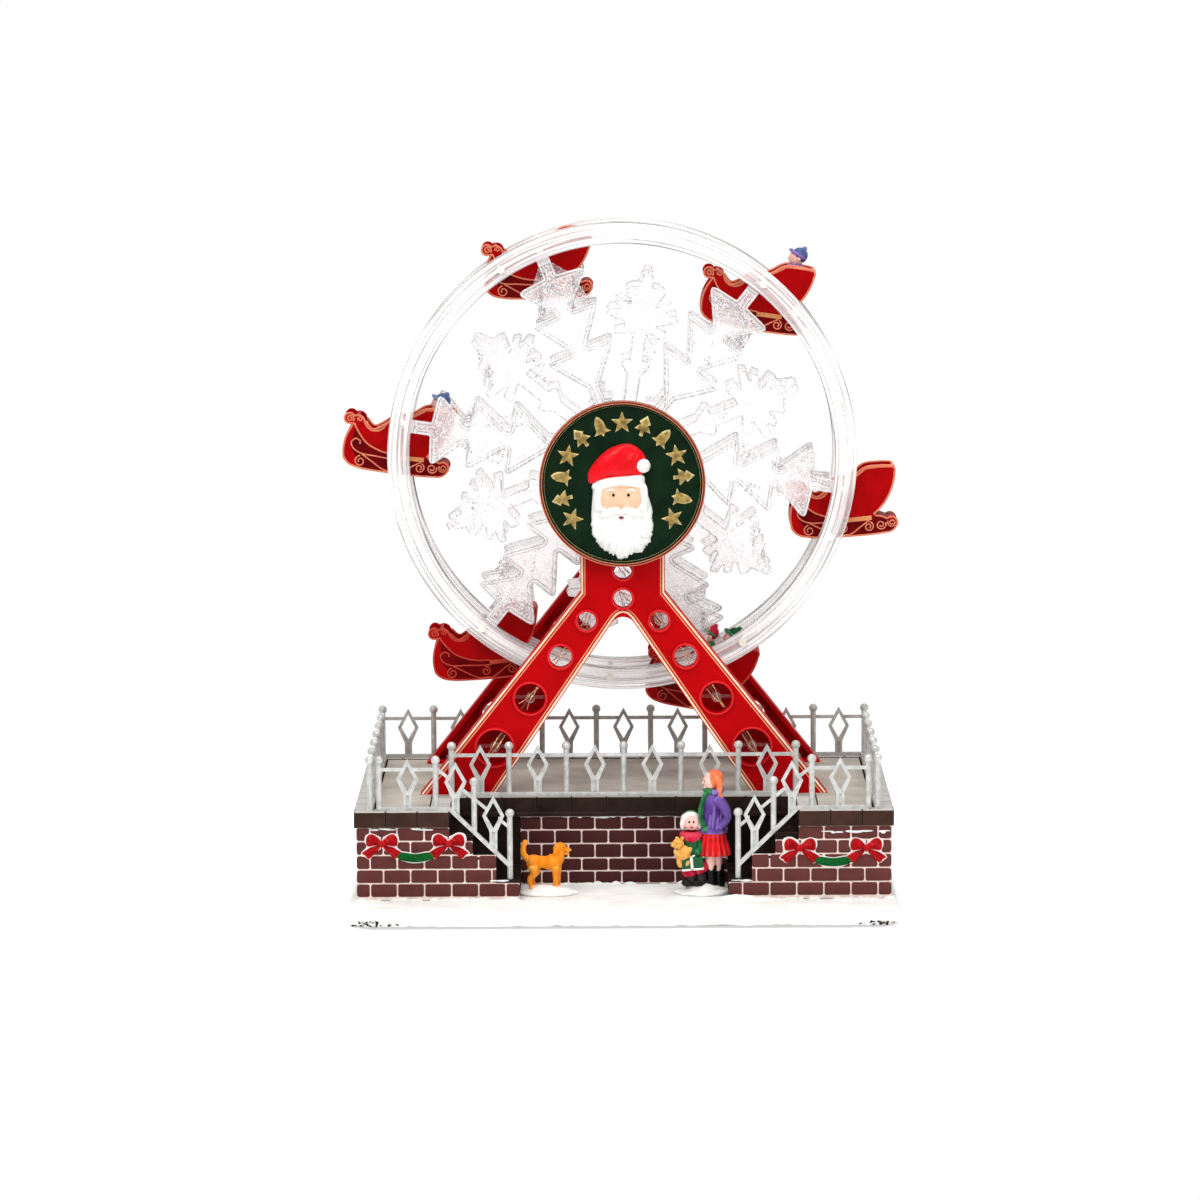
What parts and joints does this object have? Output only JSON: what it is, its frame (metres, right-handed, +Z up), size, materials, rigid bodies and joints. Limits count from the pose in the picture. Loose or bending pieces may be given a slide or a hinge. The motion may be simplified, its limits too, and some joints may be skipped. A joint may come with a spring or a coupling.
{
  "type": "musical christmas ferris wheel",
  "caption": "Tabletop ornament: a clear double wheel carries hanging sleighs with riders between two red A frames on a fenced brick terrace, turned by a small geared motor.",
  "frame": {"origin": "middle of the ground plate, at the level it stands on", "axes": "+X to the right seen from the front, +Y to the rear along the axle, +Z up"},
  "size_m": [0.2493, 0.204, 0.3],
  "materials": {
    "snow": "rough white snow coat",
    "black_plastic": "fine grain",
    "steel": "zinc plated",
    "foot_rubber": "matte",
    "brick_paint": "hand painted brick with pale joints",
    "coping_paint": "hand painted stone",
    "deck_paint": "pale grey paint",
    "fence_silver": "silver white paint",
    "garland_green": "painted",
    "bow_red": "painted",
    "figure_paint": "hand painted in several colours",
    "dog_paint": "hand painted",
    "frame_red": "glossy red with gold edge lines",
    "lamp_clear": "clear lamps on gold wires",
    "brass": "turned",
    "medallion_green": "dark green paint",
    "copper_paint": "copper paint",
    "head_paint": "hand painted relief",
    "gold_paint": "gold paint",
    "cover_red": "glossy red",
    "gear_nylon": "moulded",
    "wheel_clear": "clear with glitter",
    "light_amber": "clear domes",
    "board_green": "lacquered",
    "speaker_black": "paper cone in a metal basket",
    "cell_wrap": "plain printed wrap",
    "sleigh_red": "glossy red with gold scrolls"
  },
  "bodies": {
    "stand": {"snow_base": "snow", "bottom_cover": "black_plastic", "base_screws": "steel", "rubber_feet": "foot_rubber", "brick_terrace": "brick_paint", "wall_coping": "coping_paint", "deck_floor": "deck_paint", "centre_fence": "fence_silver", "left_front_fence": "fence_silver", "right_front_fence": "fence_silver", "left_side_fence": "fence_silver", "right_side_fence": "fence_silver", "rear_fence": "fence_silver", "garlands": "garland_green", "bows": "bow_red", "woman_and_child": "figure_paint", "dog": "dog_paint", "front_frame": "frame_red", "rear_frame": "frame_red", "front_lamp_string": "lamp_clear", "rear_lamp_string": "lamp_clear", "frame_screws": "steel", "axle_bushes": "brass", "medallion_disc": "medallion_green", "medallion_rim": "copper_paint", "medallion_head": "head_paint", "medallion_ornaments": "gold_paint", "gearbox_chassis": "black_plastic", "gearbox_cover": "cover_red", "drive_motor": "steel", "idler_pin": "steel", "circuit_board": "board_green", "speaker": "speaker_black", "switch_body": "black_plastic", "battery_box": "black_plastic", "aa_cells": "cell_wrap", "battery_contacts": "steel"},
    "wheel": {"axle": "steel", "axle_gear": "gear_nylon", "wheel_hub": "wheel_clear", "front_wheel": "wheel_clear", "rear_wheel": "wheel_clear", "ring_lights": "light_amber", "pivot_pins": "wheel_clear"},
    "idler": {"idler_gear": "gear_nylon"},
    "pinion": {"motor_pinion": "gear_nylon"},
    "door": {"battery_door": "brick_paint"},
    "slider": {"switch_slider": "black_plastic"},
    "sleigh_1_body": {"sleigh_1": "sleigh_red"},
    "sleigh_2_body": {"sleigh_2": "sleigh_red", "riders_2": "figure_paint"},
    "sleigh_3_body": {"sleigh_3": "sleigh_red"},
    "sleigh_4_body": {"sleigh_4": "sleigh_red", "riders_4": "figure_paint"},
    "sleigh_5_body": {"sleigh_5": "sleigh_red"},
    "sleigh_6_body": {"sleigh_6": "sleigh_red", "riders_6": "figure_paint"}
  },
  "joints": [
    {"name": "wheel_spin", "type": "hinge", "parent": "stand", "child": "wheel", "pos_m": [0, 0.01795, 0.195], "axis": [0, -1, 0], "continuous": true},
    {"name": "sleigh_1_swing", "type": "hinge", "parent": "wheel", "child": "sleigh_1_body", "pos_m": [0.09893, 0.01795, 0.18039], "axis": [0, -1, 0], "continuous": true},
    {"name": "sleigh_2_swing", "type": "hinge", "parent": "wheel", "child": "sleigh_2_body", "pos_m": [0.06211, 0.01795, 0.27337], "axis": [0, -1, 0], "continuous": true},
    {"name": "sleigh_3_swing", "type": "hinge", "parent": "wheel", "child": "sleigh_3_body", "pos_m": [-0.03681, 0.01795, 0.28798], "axis": [0, -1, 0], "continuous": true},
    {"name": "sleigh_4_swing", "type": "hinge", "parent": "wheel", "child": "sleigh_4_body", "pos_m": [-0.09893, 0.01795, 0.20961], "axis": [0, -1, 0], "continuous": true},
    {"name": "sleigh_5_swing", "type": "hinge", "parent": "wheel", "child": "sleigh_5_body", "pos_m": [-0.06211, 0.01795, 0.11663], "axis": [0, -1, 0], "continuous": true},
    {"name": "sleigh_6_swing", "type": "hinge", "parent": "wheel", "child": "sleigh_6_body", "pos_m": [0.03681, 0.01795, 0.10202], "axis": [0, -1, 0], "continuous": true},
    {"name": "idler_spin", "type": "hinge", "parent": "stand", "child": "idler", "pos_m": [0.01386, 0.07, 0.187], "axis": [0, -1, 0], "continuous": true},
    {"name": "pinion_spin", "type": "hinge", "parent": "stand", "child": "pinion", "pos_m": [0.00119, 0.073, 0.18015], "axis": [0, -1, 0], "continuous": true},
    {"name": "battery_door_hinge", "type": "hinge", "parent": "stand", "child": "door", "pos_m": [0, 0.0766, 0.0102], "axis": [-1, 0, 0], "range_deg": [0, 88]},
    {"name": "switch_slide", "type": "slide", "parent": "stand", "child": "slider", "axis": [1, 0, 0], "range_m": [0, 0.004]}
  ],
  "couplings": [
    {"joint": "sleigh_1_swing", "follows": "wheel_spin", "ratio": -1},
    {"joint": "sleigh_2_swing", "follows": "wheel_spin", "ratio": -1},
    {"joint": "sleigh_3_swing", "follows": "wheel_spin", "ratio": -1},
    {"joint": "sleigh_4_swing", "follows": "wheel_spin", "ratio": -1},
    {"joint": "sleigh_5_swing", "follows": "wheel_spin", "ratio": -1},
    {"joint": "sleigh_6_swing", "follows": "wheel_spin", "ratio": -1},
    {"joint": "idler_spin", "follows": "wheel_spin", "ratio": -3},
    {"joint": "pinion_spin", "follows": "wheel_spin", "ratio": 6}
  ]
}
